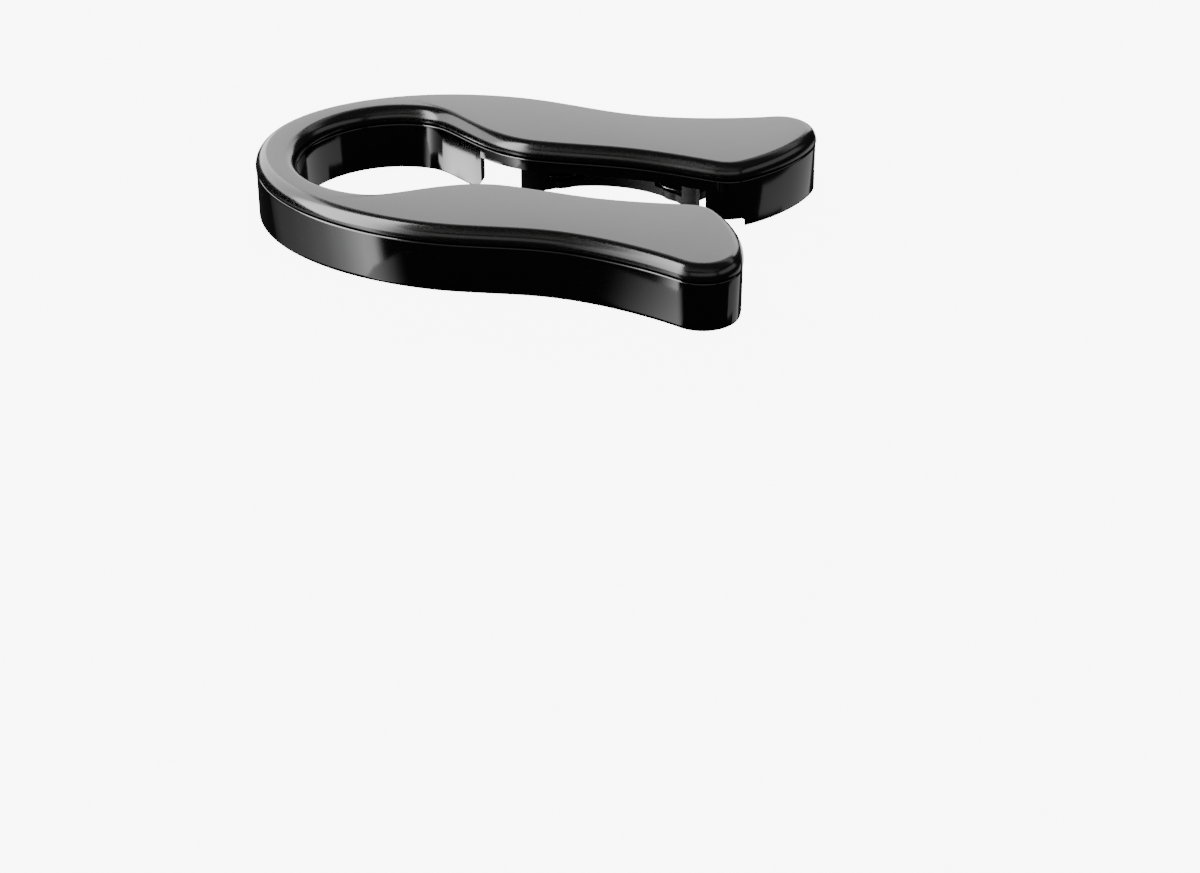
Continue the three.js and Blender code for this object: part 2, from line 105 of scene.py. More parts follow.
FLANK, TIP_END, HEEL_START, HEEL_END = 114, -6, -45, -98
flank_at, flank_to = on_round(TIP_ROUND, FLANK)
tip_at, tip_to = on_round(TIP_ROUND, TIP_END)
heel_at, heel_to = on_round(TIP_HEEL, HEEL_START)
heel_end_at, heel_end_to = on_round(TIP_HEEL, HEEL_END)
outer_edge = (
    arc(LOOP_OUTER["x"], 0, LOOP_OUTER["rx"], LOOP_OUTER["ry"], 180, 90)
    + sweep(Vector((LOOP_OUTER["x"], LOOP_OUTER["ry"])), EAST, 6.2, WAIST, EAST, 6.0)
    + sweep(WAIST, EAST, 7.0, flank_at, flank_to, 5.0)
    + arc(TIP_ROUND["x"], TIP_ROUND["y"], TIP_ROUND["r"], TIP_ROUND["r"], FLANK, TIP_END)
)
inner_edge = (
    sweep(tip_at, tip_to, 5.0, heel_at, heel_to, 5.0)
    + arc(TIP_HEEL["x"], TIP_HEEL["y"], TIP_HEEL["r"], TIP_HEEL["r"], HEEL_START, HEEL_END)
    + sweep(heel_end_at, heel_end_to, 4.5, SEAT_EDGE, WEST, 4.5)
    + sweep(SEAT_EDGE, WEST, 4.3, THROAT, WEST, 4.3)
    + sweep(THROAT, WEST, 5.5, SHOULDER, RISING, 5.0)
    + sweep(SHOULDER, RISING, 3.2, Vector((LOOP_INNER["x"], LOOP_INNER["ry"])), WEST, 2.4)
    + arc(LOOP_INNER["x"], 0, LOOP_INNER["rx"], LOOP_INNER["ry"], 90, 180)
)
left_outer = evenly(outer_edge, STEPS)
left_inner = evenly(inner_edge, STEPS)[::-1]
# The whole horseshoe, from the right tip round the closed end to the left tip.
outer_side = [Vector((p.x, -p.y)) for p in reversed(left_outer)] + left_outer[1:]
inner_side = [Vector((p.x, -p.y)) for p in reversed(left_inner)] + left_inner[1:]
ring = outer_side + inner_side[-2:0:-1]
LONG = len(outer_side) - 1


def inset(distance):
    """The horseshoe's outline moved into its own material."""
    moved = []
    for i, p in enumerate(ring):
        along = (ring[(i + 1) % len(ring)] - ring[i - 1]).normalized()
        moved.append(Vector((p.x + along.y * distance, p.y - along.x * distance)))
    return moved


def new_piece(name, vertices, faces, scale=MM):
    mesh = bpy.data.meshes.new(name)
    mesh.from_pydata([Vector(v) * scale for v in vertices], [], faces)
    mesh.validate()
    piece = bpy.data.objects.new(name, mesh)
    bpy.context.collection.objects.link(piece)
    return piece


def horseshoe(name, levels):
    """A solid horseshoe from (inset, height) levels, lowest first, with strips of quads across both ends."""
    vertices, faces, size = [], [], len(ring)
    for distance, z in levels:
        vertices += [(p.x, p.y, z) for p in inset(distance)]
    for level in range(len(levels) - 1):
        for i in range(size):
            j = (i + 1) % size
            a = level * size
            faces.append((a + i, a + size + i, a + size + j, a + j))
    outer = list(range(LONG + 1))
    inner = [0] + [size - i for i in range(1, LONG)] + [LONG]
    top = (len(levels) - 1) * size
    for i in range(LONG):
        quad = [outer[i], outer[i + 1], inner[i + 1], inner[i]]
        quad = [v for k, v in enumerate(quad) if v not in quad[:k]]
        faces.append(tuple(quad))
        faces.append(tuple(top + v for v in reversed(quad)))
    return new_piece(name, vertices, faces)


def finish_mesh(piece, sharp=35):
    """Faces point outwards, and only real corners stay sharp."""
    made = bmesh.new()
    made.from_mesh(piece.data)
    bmesh.ops.remove_doubles(made, verts=made.verts, dist=1e-7)
    bmesh.ops.recalc_face_normals(made, faces=made.faces)
    made.to_mesh(piece.data)
    made.free()
    piece.data.shade_smooth()
    piece.data.set_sharp_from_angle(angle=math.radians(sharp))


def carve(piece, tool, operation="DIFFERENCE"):
    """Cuts a tool out of a piece, or joins it on, and throws the tool away."""
    cut = piece.modifiers.new("cut", "BOOLEAN")
    cut.object, cut.operation, cut.solver = tool, operation, "MANIFOLD"
    made = bpy.data.meshes.new_from_object(piece.evaluated_get(bpy.context.evaluated_depsgraph_get()))
    piece.modifiers.clear()
    piece.data = made
    bpy.data.objects.remove(tool)


def turned(name, x, y, profile, sides=64):
    """A closed solid turned about an upright axis. The profile's points are (radius, height), going up."""
    vertices, faces, rows = [], [], []
    for radius, z in profile:
        if radius == 0:
            rows.append([len(vertices)] * sides)
            vertices.append((x, y, z))
            continue
        rows.append(list(range(len(vertices), len(vertices) + sides)))
        for i in range(sides):
            t = 2 * math.pi * i / sides
            vertices.append((x + radius * math.cos(t), y + radius * math.sin(t), z))
    for low, high in zip(rows, rows[1:]):
        for i in range(sides):
            j = (i + 1) % sides
            quad = [low[i], low[j], high[j], high[i]]
            quad = [v for k, v in enumerate(quad) if v not in quad[:k]]
            if len(quad) > 2:
                faces.append(tuple(quad))
    if profile[0][0] and profile[0] != profile[-1]:
        faces.append(tuple(reversed(rows[0])))
        faces.append(tuple(rows[-1]))
    return new_piece(name, vertices, faces)


def drum(x, y, radius, low, high, sides=64):
    return turned("drum", x, y, [(radius, low), (radius, high)], sides)


def brick(x0, x1, y0, y1, z0, z1):
    return extruded("brick", [(x0, y0), (x1, y0), (x1, y1), (x0, y1)], z0, z1)


def extruded(name, outline, low, high):
    """An upright solid from a plan outline."""
    count = len(outline)
    vertices = [(p[0], p[1], z) for z in (low, high) for p in outline]
    faces = [(i, (i + 1) % count, count + (i + 1) % count, count + i) for i in range(count)]
    faces += [tuple(reversed(range(count))), tuple(range(count, 2 * count))]
    return new_piece(name, vertices, faces)


def quarter(cx, cz, r, start, end, steps=6):
    """A round corner as (across, up) points, between two angles in degrees."""
    turns = [math.radians(start + (end - start) * i / steps) for i in range(steps + 1)]
    return [(cx + r * math.cos(t), cz + r * math.sin(t)) for t in turns]


TOP_INSET, CHANNEL_FLARE, FLARE_TOP = 0.1, 0.25, 0.4
housing_levels = (
    [(WALL_TAPER + FOOT_ROUND - x, FOOT_ROUND + z) for x, z in quarter(0, 0, FOOT_ROUND, -90, 0, 8)]
    + [(TOP_INSET + TOP_ROUND - x, HOUSING_TOP - TOP_ROUND + z) for x, z in quarter(0, 0, TOP_ROUND, 0, 90, 4)]
)
housing = horseshoe("housing", housing_levels)
carve(housing, horseshoe("channel", [
    (WALL + CHANNEL_FLARE, -1), (WALL + CHANNEL_FLARE, -0.001), (WALL, FLARE_TOP), (WALL, WEB_BOTTOM)]))

# The cutaway leaves the loop's inner wall a little short, with a rounded corner, and a low wall at the heel.
CUT_FROM, CUT_TO, CORNER, LOOP_WALL_BOTTOM = -8.6, 26.2, 1.7, 0.5
HEEL_TO, HEEL_Z, HEEL_EASE, CUT_EASE = 31.7, 1.5, 0.3, 0.5
PAST_LOOP, REACH = -40, 30
side = [(CUT_FROM, LIP_BOTTOM)]
side += [(CUT_FROM - CORNER + x, LOOP_WALL_BOTTOM + CORNER + z) for x, z in quarter(0, 0, CORNER, 0, -90, 8)]
side += [(PAST_LOOP, LOOP_WALL_BOTTOM), (PAST_LOOP, -1), (HEEL_TO, -1)]
side += [(HEEL_TO, HEEL_Z - HEEL_EASE), (HEEL_TO - HEEL_EASE, HEEL_Z)]
side += [(CUT_TO + CUT_EASE, HEEL_Z), (CUT_TO, HEEL_Z + CUT_EASE), (CUT_TO, LIP_BOTTOM)]
count = len(side)
cutaway = new_piece("cutaway", [(x, y, z) for y in (-REACH, REACH) for x, z in side],
                    [(i, (i + 1) % count, count + (i + 1) % count, count + i) for i in range(count)]
                    + [tuple(reversed(range(count))), tuple(range(count, 2 * count))])
finish_mesh(cutaway)
within = inset(WALL + 0.3)
mouth = extruded("mouth", [within[(len(ring) - i) % len(ring)] for i in range(1, LONG)], -2, LIP_BOTTOM + LAP)
finish_mesh(mouth)
carve(cutaway, mouth, "INTERSECT")
carve(housing, cutaway)

# Under the web stand a boss for each pin and screw, and a ribbed tower for each screw of the cover.
WHEEL_REACH, WHEEL_ANGLE = 19.2, math.radians(60)
WHEELS = [(NECK_X + turn * WHEEL_REACH * math.cos(WHEEL_ANGLE), WHEEL_REACH * math.sin(WHEEL_ANGLE))
          for turn in (-1, 1)]
SADDLE_RADIUS, SADDLE_WALL, SADDLE_HALF, CARRIER_TOP = 15.9, 1.4, 13.2, 5.4
CARRIER_SCREW_RADIUS, CARRIER_SCREW_ANGLE = 18.9, 8
CARRIER_SCREWS = [(NECK_X + CARRIER_SCREW_RADIUS * math.cos(math.radians(90 + t)),
                   CARRIER_SCREW_RADIUS * math.sin(math.radians(90 + t)))
                  for t in (CARRIER_SCREW_ANGLE, -CARRIER_SCREW_ANGLE)]
COVER_SCREWS = [(-12.0, 18.2), (32.8, 19.6)]
PIN_BOSS, PIN_BOSS_BOTTOM, PIN_HOLE, PIN_HOLE_TOP = 1.8, 3.3, 1.0, 5.9
SCREW_BOSS, SCREW_BOSS_BOTTOM, SCREW_HOLE, SCREW_HOLE_TOP = 2.2, 1.8, 0.9, 5.7
TOWER, TOWER_BOTTOM, TOWER_HOLE, TOWER_HOLE_TOP = 2.6, 4.0, 1.0, 7.0
RIB_REACH, RIB_HALF, RIB_BOTTOM = 6.5, 0.5, 4.6
SKEW = 0.01  # keeps the faces of two crossing bars apart
for sign in (1, -1):
    for x, y in WHEELS:
        carve(housing, drum(x, sign * y, PIN_BOSS, PIN_BOSS_BOTTOM, WEB_BOTTOM + LAP), "UNION")
        carve(housing, drum(x, sign * y, PIN_HOLE, 2, PIN_HOLE_TOP))
    for x, y in CARRIER_SCREWS:
        boss = drum(x, sign * y, SCREW_BOSS, SCREW_BOSS_BOTTOM, WEB_BOTTOM + LAP)
        carve(boss, drum(NECK_X, 0, SADDLE_RADIUS + SADDLE_WALL + LAP, -1, CARRIER_TOP + LAP, 160))
        carve(housing, boss, "UNION")
        carve(housing, drum(x, sign * y, SCREW_HOLE, 1, SCREW_HOLE_TOP))
    for x, y in COVER_SCREWS:
        cross = brick(x - RIB_REACH, x + RIB_REACH, sign * y - RIB_HALF, sign * y + RIB_HALF,
                      RIB_BOTTOM, WEB_BOTTOM + LAP)
        carve(cross, brick(x - RIB_HALF, x + RIB_HALF, sign * y - RIB_REACH, sign * y + RIB_REACH,
                           RIB_BOTTOM + SKEW, WEB_BOTTOM + LAP - SKEW), "UNION")
        carve(cross, horseshoe("room", [(WALL - LAP, -1), (WALL - LAP, HEIGHT)]), "INTERSECT")
        carve(housing, cross, "UNION")
        carve(housing, drum(x, sign * y, TOWER, TOWER_BOTTOM, WEB_BOTTOM + LAP), "UNION")
        carve(housing, drum(x, sign * y, TOWER_HOLE, 3, TOWER_HOLE_TOP))
finish_mesh(housing)


def plastic(name, colour, roughness, grain, grain_depth, mottle=0.0, specular=0.5):
    """Moulded plastic: a fine spark-eroded or polished skin, with roughness that varies a little over it."""
    material = bpy.data.materials.new(name)
    material.use_nodes = True
    nodes, links = material.node_tree.nodes, material.node_tree.links
    shader = nodes["Principled BSDF"]
    shader.inputs["Specular IOR Level"].default_value = specular
    place = nodes.new("ShaderNodeTexCoord")
    fine = nodes.new("ShaderNodeTexNoise")
    fine.inputs["Scale"].default_value = grain
    fine.inputs["Detail"].default_value = 3
    links.new(place.outputs["Object"], fine.inputs["Vector"])
    bump = nodes.new("ShaderNodeBump")
    bump.inputs["Strength"].default_value = 1.0
    bump.inputs["Distance"].default_value = grain_depth
    links.new(fine.outputs["Fac"], bump.inputs["Height"])
    links.new(bump.outputs["Normal"], shader.inputs["Normal"])
    broad = nodes.new("ShaderNodeTexNoise")
    broad.inputs["Scale"].default_value = 90
    broad.inputs["Detail"].default_value = 4
    links.new(place.outputs["Object"], broad.inputs["Vector"])
    rough = nodes.new("ShaderNodeMapRange")
    rough.inputs["To Min"].default_value = roughness * 0.85
    rough.inputs["To Max"].default_value = roughness * 1.15
    links.new(broad.outputs["Fac"], rough.inputs["Value"])
    links.new(rough.outputs["Result"], shader.inputs["Roughness"])
    tint = nodes.new("ShaderNodeValToRGB")
    tint.color_ramp.elements[0].position, tint.color_ramp.elements[1].position = 0.3, 0.7
    tint.color_ramp.elements[0].color = (*[c * (1 - mottle) for c in colour], 1)
    tint.color_ramp.elements[1].color = (*[c * (1 + mottle) for c in colour], 1)
    links.new(fine.outputs["Fac"], tint.inputs["Fac"])
    links.new(tint.outputs["Color"], shader.inputs["Base Color"])
    return material


housing.data.materials.clear()
housing.data.materials.append(plastic("polished_abs", (0.0025, 0.0025, 0.0026), 0.09, 2500, 0.0000008, 0.1))
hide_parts("housing_left", "housing_right")
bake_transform(housing)

# ---- The cover ------------------------------------------------------------------------------------
# A solid U-shaped plate in satin black ABS with a full round along its top edge. It drops over the
# housing's web on a low land, which leaves a fine shadow line, and is held by screws from below.
COVER_BOTTOM, EDGE_WIDTH, EDGE_HEIGHT, EDGE_STEPS = 7.7, 1.7, 2.0, 16
LAND, LOWER_EASE = 2.3, 0.2
cover_levels = [(LAND, HOUSING_TOP + 0.01), (LAND, COVER_BOTTOM), (LOWER_EASE, COVER_BOTTOM),
                (0.06, COVER_BOTTOM + 0.06), (0.0, COVER_BOTTOM + LOWER_EASE)]
for i in range(EDGE_STEPS + 1):
    t = math.radians(90 * i / EDGE_STEPS)
    cover_levels.append((EDGE_WIDTH * (1 - math.cos(t)), HEIGHT - EDGE_HEIGHT + EDGE_HEIGHT * math.sin(t)))
cover = horseshoe("cover", cover_levels)
finish_mesh(cover)
cover.data.materials.append(plastic("satin_abs", (0.004, 0.004, 0.0038), 0.18, 9000, 0.000003, 0.2))
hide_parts("top_cover_left", "top_cover_right")
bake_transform(cover)

# ---- The wheel carriers ---------------------------------------------------------------------------
# One in each arm, moulded in matte black nylon: a saddle wall that follows the bottle's neck, with a
# slot for each wheel, on a floor that holds the pins. Two screws pull it up against the housing.
CARRIER_BOTTOM, CARRIER_FLOOR, CARRIER_OUTER, CARRIER_LOBE, SLOT_TOP = 0.5, 1.7, 20.5, 3.6, 3.5
WHEEL_RADIUS, SLOT_CLEARANCE, BORE_RADIUS, CSK_HEAD, CSK_DEPTH, CSK_ROOM = 4.0, 0.5, 1.0, 1.5, 0.8, 0.3
FLOOR_HALF_TURN, SADDLE_HALF_TURN = 40, 65


def band(name, inner, outer, low, high, start, end, steps=72):
    """An upright band round the neck between two radii."""
    turns = [math.radians(start + (end - start) * i / steps) for i in range(steps + 1)]
    outline = [(NECK_X + outer * math.cos(t), outer * math.sin(t)) for t in turns]
    outline += [(NECK_X + inner * math.cos(t), inner * math.sin(t)) for t in reversed(turns)]
    return extruded(name, outline, low, high)


def soften(piece, width, angle=50):
    """Eases the corners of a moulded piece."""
    ease = piece.modifiers.new("ease", "BEVEL")
    ease.width, ease.segments, ease.limit_method, ease.angle_limit = width * MM, 2, "ANGLE", math.radians(angle)
    made = bpy.data.meshes.new_from_object(piece.evaluated_get(bpy.context.evaluated_depsgraph_get()))
    piece.modifiers.clear()
    piece.data = made


nylon = plastic("matte_nylon", (0.006, 0.006, 0.006), 0.45, 6000, 0.000004, 0.2, 0.3)
for side, sign in (("left", 1), ("right", -1)):
    middle = 90 if sign > 0 else 270
    carrier = band(f"carrier_{side}", SADDLE_RADIUS, CARRIER_OUTER, CARRIER_BOTTOM, CARRIER_FLOOR,
                   middle - FLOOR_HALF_TURN, middle + FLOOR_HALF_TURN)
    for x, y in WHEELS:
        carve(carrier, drum(x, sign * y, CARRIER_LOBE, CARRIER_BOTTOM, CARRIER_FLOOR), "UNION")
    saddle = band("saddle", SADDLE_RADIUS, SADDLE_RADIUS + SADDLE_WALL, CARRIER_BOTTOM, CARRIER_TOP,
                  middle - SADDLE_HALF_TURN, middle + SADDLE_HALF_TURN)
    carve(saddle, brick(NECK_X - SADDLE_HALF, NECK_X + SADDLE_HALF, -REACH, REACH, -1, 20), "INTERSECT")
    carve(carrier, saddle, "UNION")
    for x, y in WHEELS:
        carve(carrier, drum(x, sign * y, WHEEL_RADIUS + SLOT_CLEARANCE, CARRIER_FLOOR, SLOT_TOP))
        carve(carrier, drum(x, sign * y, BORE_RADIUS, -1, CARRIER_FLOOR + 1))
    for x, y in CARRIER_SCREWS:
        carve(carrier, turned("sink", x, sign * y, [
            (CSK_HEAD + CSK_ROOM, CARRIER_BOTTOM - 0.1), (SCREW_HOLE, CARRIER_BOTTOM + CSK_DEPTH),
            (SCREW_HOLE, CARRIER_FLOOR + 1)]))
    finish_mesh(carrier)
    soften(carrier, 0.12)
    finish_mesh(carrier)
    carrier.data.materials.clear()
    carrier.data.materials.append(nylon)
    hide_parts(f"wheel_carrier_{side}")
    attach(carrier, f"{side}_arm")

# ---- The cutting wheels ---------------------------------------------------------------------------
# Four hardened steel discs with a hub and a bore. Both faces are ground to a bevel that meets in a
# sharp rim, so fine circular grinding lines run round them. They are set out on the carriers' pins.
HUB_RADIUS, HUB_BOTTOM, HUB_TOP, HUB_EASE, BORE_EASE = 1.9, 1.8, 3.2, 0.15, 0.1
DISC_HALF, BEVEL_START, SHARP = 0.4, 2.7, 0.02


def set_out_tree():
    """A node tree that sets copies of one piece out on points, each turned by its own amount."""
    tree = bpy.data.node_groups.new("set_out", "GeometryNodeTree")
    for name, kind in (("Places", "Geometry"), ("Piece", "Object"), ("Size", "Float"), ("Least turn", "Float"),
                       ("Most turn", "Float"), ("Seed", "Int"), ("Finish", "Material")):
        tree.interface.new_socket(name, in_out="INPUT", socket_type="NodeSocket" + kind)
    tree.interface.new_socket("Set", in_out="OUTPUT", socket_type="NodeSocketGeometry")
    nodes, links = tree.nodes, tree.links
    given, result = nodes.new("NodeGroupInput"), nodes.new("NodeGroupOutput")
    piece = nodes.new("GeometryNodeObjectInfo")
    turn = nodes.new("FunctionNodeRandomValue")
    spin = nodes.new("ShaderNodeCombineXYZ")
    copies = nodes.new("GeometryNodeInstanceOnPoints")
    real = nodes.new("GeometryNodeRealizeInstances")
    paint = nodes.new("GeometryNodeSetMaterial")
    links.new(given.outputs["Piece"], piece.inputs["Object"])
    links.new(given.outputs["Least turn"], turn.inputs[2])
    links.new(given.outputs["Most turn"], turn.inputs[3])
    links.new(given.outputs["Seed"], turn.inputs["Seed"])
    links.new(turn.outputs[1], spin.inputs["Z"])
    links.new(given.outputs["Places"], copies.inputs["Points"])
    links.new(piece.outputs["Geometry"], copies.inputs["Instance"])
    links.new(spin.outputs["Vector"], copies.inputs["Rotation"])
    links.new(given.outputs["Size"], copies.inputs["Scale"])
    links.new(copies.outputs["Instances"], real.inputs["Geometry"])
    links.new(real.outputs["Geometry"], paint.inputs["Geometry"])
    links.new(given.outputs["Finish"], paint.inputs["Material"])
    links.new(paint.outputs["Geometry"], result.inputs["Set"])
    return tree


set_out = set_out_tree()


def place(name, pattern, places, finish, turns=(0.0, 0.0), seed=0):
    """One mesh made of copies of the pattern, standing on the places."""
    piece = new_piece(name, places, [])
    maker = piece.modifiers.new("set out", "NODES")
    maker.node_group = set_out
    sockets = {i.name: i.identifier for i in set_out.interface.items_tree if i.in_out == "INPUT"}
    for key, value in (("Piece", pattern), ("Size", 1.0), ("Least turn", turns[0]), ("Most turn", turns[1]),
                       ("Seed", seed), ("Finish", finish)):
        maker[sockets[key]] = value
    made = bpy.data.meshes.new_from_object(piece.evaluated_get(bpy.context.evaluated_depsgraph_get()))
    piece.modifiers.clear()
    piece.data = made
    return piece


def pattern_of(piece):
    """Readies a piece as a pattern, with each point's distance from its axis kept as an attribute."""
    finish_mesh(piece)
    reach = piece.data.attributes.new("reach", "FLOAT", "POINT")
    reach.data.foreach_set("value", [math.hypot(v.co.x, v.co.y) / MM for v in piece.data.vertices])
    return piece


def steel(name, colour, roughness, lines):
    """Bare steel with fine circular machining lines about each piece's own axis."""
    material = bpy.data.materials.new(name)
    material.use_nodes = True
    nodes, links = material.node_tree.nodes, material.node_tree.links
    shader = nodes["Principled BSDF"]
    shader.inputs["Metallic"].default_value = 1
    reach = nodes.new("ShaderNodeAttribute")
    reach.attribute_name = "reach"
    cut = nodes.new("ShaderNodeTexNoise")
    cut.noise_dimensions = "1D"
    cut.inputs["Scale"].default_value = lines
    cut.inputs["Detail"].default_value = 2
    links.new(reach.outputs["Fac"], cut.inputs["W"])
    rough = nodes.new("ShaderNodeMapRange")
    rough.inputs["To Min"].default_value, rough.inputs["To Max"].default_value = roughness * 0.7, roughness * 1.4
    links.new(cut.outputs["Fac"], rough.inputs["Value"])
    links.new(rough.outputs["Result"], shader.inputs["Roughness"])
    tint = nodes.new("ShaderNodeValToRGB")
    tint.color_ramp.elements[0].position, tint.color_ramp.elements[1].position = 0.3, 0.7
    tint.color_ramp.elements[0].color = (*[c * 0.8 for c in colour], 1)
    tint.color_ramp.elements[1].color = (*colour, 1)
    links.new(cut.outputs["Fac"], tint.inputs["Fac"])
    links.new(tint.outputs["Color"], shader.inputs["Base Color"])
    bump = nodes.new("ShaderNodeBump")
    bump.inputs["Distance"].default_value = 0.000003
    links.new(cut.outputs["Fac"], bump.inputs["Height"])
    links.new(bump.outputs["Normal"], shader.inputs["Normal"])
    return material


middle = (HUB_BOTTOM + HUB_TOP) / 2
wheel_pattern = pattern_of(turned("wheel_pattern", 0, 0, [
    (BORE_RADIUS, HUB_BOTTOM + BORE_EASE), (BORE_RADIUS + BORE_EASE, HUB_BOTTOM),
    (HUB_RADIUS - HUB_EASE, HUB_BOTTOM), (HUB_RADIUS, HUB_BOTTOM + HUB_EASE),
    (HUB_RADIUS, middle - DISC_HALF), (BEVEL_START, middle - DISC_HALF),
    (WHEEL_RADIUS, middle - SHARP), (WHEEL_RADIUS, middle + SHARP),
    (BEVEL_START, middle + DISC_HALF), (HUB_RADIUS, middle + DISC_HALF),
    (HUB_RADIUS, HUB_TOP - HUB_EASE), (HUB_RADIUS - HUB_EASE, HUB_TOP),
    (BORE_RADIUS + BORE_EASE, HUB_TOP), (BORE_RADIUS, HUB_TOP - BORE_EASE),
    (BORE_RADIUS, HUB_BOTTOM + BORE_EASE)], 128))
ground_steel = steel("ground_steel", (0.62, 0.63, 0.64), 0.22, 14)
for side, sign in (("left", 1), ("right", -1)):
    for end, (x, y) in zip(("loop", "tip"), WHEELS):
        wheel = place(f"wheel_{side}_{end}", wheel_pattern, [(x, sign * y, 0)], ground_steel)
        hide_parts(f"cutter_wheel_{side}_{end}")
        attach(wheel, f"{side}_{end}_wheel")
bpy.data.objects.remove(wheel_pattern)

# ---- The wheel pins -------------------------------------------------------------------------------
# Short drawn steel pins with chamfered ends. Each is pressed into the carrier's floor, goes up through
# its wheel and ends in a boss of the housing.
PIN_RADIUS, PIN_BOTTOM, PIN_TOP, CHAMFER = 0.9, 0.7, 5.7, 0.2
pin_pattern = pattern_of(turned("pin_pattern", 0, 0, [
    (0, PIN_BOTTOM), (PIN_RADIUS - CHAMFER, PIN_BOTTOM), (PIN_RADIUS, PIN_BOTTOM + CHAMFER),
    (PIN_RADIUS, PIN_TOP - CHAMFER), (PIN_RADIUS - CHAMFER, PIN_TOP), (0, PIN_TOP)], 48))
drawn_steel = steel("drawn_steel", (0.55, 0.56, 0.57), 0.3, 30)
for side, sign in (("left", 1), ("right", -1)):
    pins = place(f"pins_{side}", pin_pattern, [(x, sign * y, 0) for x, y in WHEELS], drawn_steel)
    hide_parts(f"wheel_pin_{side}_loop", f"wheel_pin_{side}_tip")
    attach(pins, f"{side}_arm")
bpy.data.objects.remove(pin_pattern)

# ---- The screws -----------------------------------------------------------------------------------
# Small zinc-plated cross-recess screws, all driven from below: countersunk ones hold the carriers, and
# pan-head ones hold the cover through the housing's towers. They were left at odd angles by the driver.
SHANK, POINT, RECESS_ARM, RECESS_BLADE = 0.8, 0.3, 0.85, 0.22
CSK_END, CSK_TAPER, CSK_RECESS = 5.5, 0.6, 0.5
PAN_HEAD, PAN_HEIGHT, PAN_RIM, PAN_END, PAN_TAPER, PAN_RECESS = 1.9, 1.1, 0.25, 7.2, 0.6, 0.6


def cross_recess(low, depth):
    """The shape of the driver's tip, pushed up into a head from below."""
    cross = brick(-RECESS_ARM, RECESS_ARM, -RECESS_BLADE, RECESS_BLADE, low - 1, low + depth)
    carve(cross, brick(-RECESS_BLADE, RECESS_BLADE, -RECESS_ARM, RECESS_ARM,
                       low - 1 - SKEW, low + depth + SKEW), "UNION")
    return cross


csk = turned("csk_pattern", 0, 0, [
    (0, CARRIER_BOTTOM), (CSK_HEAD - 0.05, CARRIER_BOTTOM), (CSK_HEAD, CARRIER_BOTTOM + 0.05),
    (SHANK, CARRIER_BOTTOM + CSK_DEPTH), (SHANK, CSK_END - CSK_TAPER), (POINT, CSK_END), (0, CSK_END)], 48)
carve(csk, cross_recess(CARRIER_BOTTOM, CSK_RECESS))
pan_low, rim_low = TOWER_BOTTOM - PAN_HEIGHT, TOWER_BOTTOM - PAN_RIM
dome = [(PAN_HEAD * math.cos(math.radians(t)), rim_low - (PAN_HEIGHT - PAN_RIM) * math.sin(math.radians(t)))
        for t in range(75, -15, -15)]
pan = turned("pan_pattern", 0, 0, [(0, pan_low)] + dome + [
    (PAN_HEAD, TOWER_BOTTOM), (SHANK, TOWER_BOTTOM), (SHANK, PAN_END - PAN_TAPER),
    (POINT, PAN_END), (0, PAN_END)], 48)
carve(pan, cross_recess(pan_low, PAN_RECESS))
pattern_of(csk)
pattern_of(pan)
zinc = steel("zinc_plate", (0.45, 0.46, 0.48), 0.34, 9)
for side, sign in (("left", 1), ("right", -1)):
    for kind, pattern, spots, seed in (("carrier_screw", csk, CARRIER_SCREWS, 3),
                                       ("cover_screw", pan, COVER_SCREWS, 8)):
        screws = place(f"{kind}s_{side}", pattern, [(x, sign * y, 0) for x, y in spots], zinc,
                       (0.0, math.pi), seed + (sign > 0))
        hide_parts(f"{kind}_{side}_loop", f"{kind}_{side}_tip")
        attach(screws, f"{side}_arm")
for pattern in (csk, pan):
    bpy.data.objects.remove(pattern)

# ---- Camera ---------------------------------------------------------------------------------------
# A long lens, a little above the tool and nearly square to one arm. It looks at a point below the
# tool, which puts the tool high in the picture, with room under it.
SENSOR, LENS = 36, 123.75
AZIMUTH, ELEVATION, ROLL, DISTANCE = -74.035, 27.480, -0.4, 592.4
AIM = Vector((16.17, -14.29, -25.0))
camera_data = bpy.data.cameras.new("camera")
camera_data.sensor_width, camera_data.lens = SENSOR, LENS
camera = bpy.data.objects.new("camera", camera_data)
bpy.context.collection.objects.link(camera)
a, e, r = (math.radians(v) for v in (AZIMUTH, ELEVATION, ROLL))
back = Vector((math.cos(e) * math.cos(a), math.cos(e) * math.sin(a), math.sin(e)))
right = Vector((0, 0, 1)).cross(back).normalized()
up = back.cross(right)
right, up = right * math.cos(r) + up * math.sin(r), up * math.cos(r) - right * math.sin(r)
facing = Matrix((right, up, back)).transposed().to_4x4()
camera.matrix_world = Matrix.Translation((AIM + back * DISTANCE) * MM) @ facing
camera_data.clip_start, camera_data.clip_end = 0.01, 20
bpy.context.scene.camera = camera

